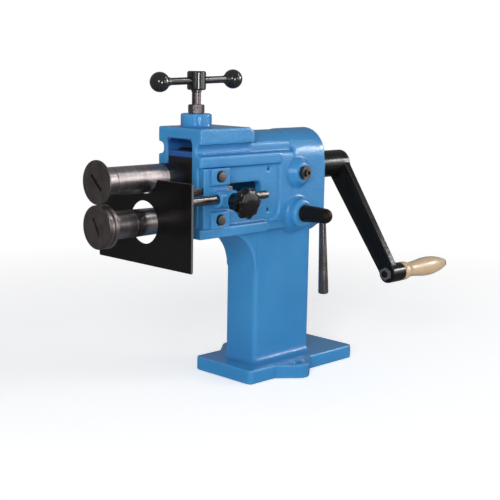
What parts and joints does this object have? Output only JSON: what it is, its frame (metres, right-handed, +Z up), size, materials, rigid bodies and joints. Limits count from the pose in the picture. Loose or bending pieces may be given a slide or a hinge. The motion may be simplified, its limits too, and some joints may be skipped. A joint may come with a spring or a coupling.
{
  "type": "hand beading machine",
  "caption": "Bench-mounted hand beading machine: cast frame, geared upper and lower die shafts, crank, pressure screw with T handle, axial lever and sliding fence.",
  "frame": {"origin": "middle of the base plate's underside", "axes": "+X from the dies towards the crank, +Z up, -Y towards the side with the fence knob and the lever"},
  "size_m": [0.5973, 0.2153, 0.4303],
  "materials": {
    "blue_enamel": "light blue gloss enamel on a sand casting",
    "bright_steel": "turned and ground steel",
    "dark_steel": "blackened steel",
    "black_enamel": "gloss black enamel on steel",
    "black_plastic": "moulded black phenolic plastic",
    "bronze": "bearing bronze",
    "beech": "turned and varnished beech"
  },
  "bodies": {
    "frame": {"frame_casting": "blue_enamel", "gear_cover": "blue_enamel", "cover_screws": "dark_steel", "lower_front_bush": "bronze", "lever_bush": "bronze", "fence_bracket": "blue_enamel", "bracket_bolts": "dark_steel", "pivot_screws": "dark_steel", "pivot_lock_nuts": "dark_steel"},
    "nut": {"lock_nut": "dark_steel"},
    "foot": {"thrust_foot": "bright_steel"},
    "screw": {"pressure_screw": "bright_steel", "t_hub": "black_enamel", "t_bar": "black_enamel", "ball_knobs": "black_plastic"},
    "upper_arm": {"swivel_housing": "dark_steel", "swivel_bush": "bronze", "slide_block": "black_enamel", "block_bush": "bronze", "block_cap": "blue_enamel", "foot_keeper": "dark_steel", "cap_screws": "dark_steel"},
    "crank": {"upper_shaft": "bright_steel", "upper_gear": "bright_steel", "upper_gear_key": "bright_steel", "upper_collar": "dark_steel", "upper_die": "bright_steel", "upper_spacer": "bright_steel", "upper_die_screw": "bright_steel", "crank_arm": "black_enamel", "crank_key": "bright_steel", "crank_washer": "bright_steel", "crank_screw": "dark_steel", "grip_bolt": "bright_steel", "grip_nut": "dark_steel"},
    "grip": {"crank_grip": "beech"},
    "sleeve": {"adjusting_sleeve": "bright_steel", "sleeve_bush": "bronze"},
    "lower_roll": {"lower_shaft": "bright_steel", "lower_gear": "bright_steel", "lower_gear_key": "bright_steel", "lower_collar": "dark_steel", "lower_die": "bright_steel", "lower_spacer": "bright_steel", "lower_die_screw": "bright_steel"},
    "lever": {"lever_hub": "black_enamel", "lever_rod": "black_enamel"},
    "fence": {"fence_plate": "black_enamel", "fence_rod": "bright_steel", "fence_guide_bar": "bright_steel"},
    "knob": {"star_knob": "black_plastic", "knob_stud": "bright_steel"}
  },
  "joints": [
    {"name": "lock_nut_turn", "type": "hinge", "parent": "frame", "child": "nut", "pos_m": [-0.1648, 0, 0.378], "axis": [0, 0, 1], "range_deg": [0, 60]},
    {"name": "foot_lift", "type": "slide", "parent": "frame", "child": "foot", "axis": [0, 0, 1], "range_m": [0, 0.004]},
    {"name": "screw_turn", "type": "hinge", "parent": "foot", "child": "screw", "pos_m": [-0.1648, 0, 0.4], "axis": [0, 0, 1], "range_deg": [0, 822]},
    {"name": "upper_tilt", "type": "hinge", "parent": "frame", "child": "upper_arm", "pos_m": [-0.004, 0, 0.2882], "axis": [0, 1, 0], "range_deg": [0, 1.43]},
    {"name": "crank_spin", "type": "hinge", "parent": "upper_arm", "child": "crank", "pos_m": [0, 0, 0.2912], "axis": [1, 0, 0], "continuous": true},
    {"name": "grip_spin", "type": "hinge", "parent": "crank", "child": "grip", "pos_m": [0.2, -0.10902, 0.13608], "axis": [1, 0, 0], "continuous": true},
    {"name": "lever_turn", "type": "hinge", "parent": "frame", "child": "lever", "pos_m": [-0.004, -0.08, 0.231], "axis": [0, 1, 0], "range_deg": [-30, 30]},
    {"name": "lower_axial", "type": "slide", "parent": "frame", "child": "sleeve", "axis": [1, 0, 0], "range_m": [-0.00211, 0.00211]},
    {"name": "lower_spin", "type": "hinge", "parent": "sleeve", "child": "lower_roll", "pos_m": [0, 0, 0.2352], "axis": [1, 0, 0], "continuous": true},
    {"name": "fence_slide", "type": "slide", "parent": "frame", "child": "fence", "axis": [1, 0, 0], "range_m": [-0.035, 0.05]},
    {"name": "knob_turn", "type": "hinge", "parent": "frame", "child": "knob", "pos_m": [-0.155, -0.08, 0.2605], "axis": [0, 1, 0], "range_deg": [0, 360]}
  ],
  "couplings": [
    {"joint": "foot_lift", "follows": "screw_turn", "m_per_rad": 0.00027852},
    {"joint": "upper_tilt", "follows": "screw_turn", "ratio": 0.0017321},
    {"joint": "lower_axial", "follows": "lever_turn", "m_per_rad": 0.0040107},
    {"joint": "lower_spin", "follows": "crank_spin", "ratio": -1}
  ]
}
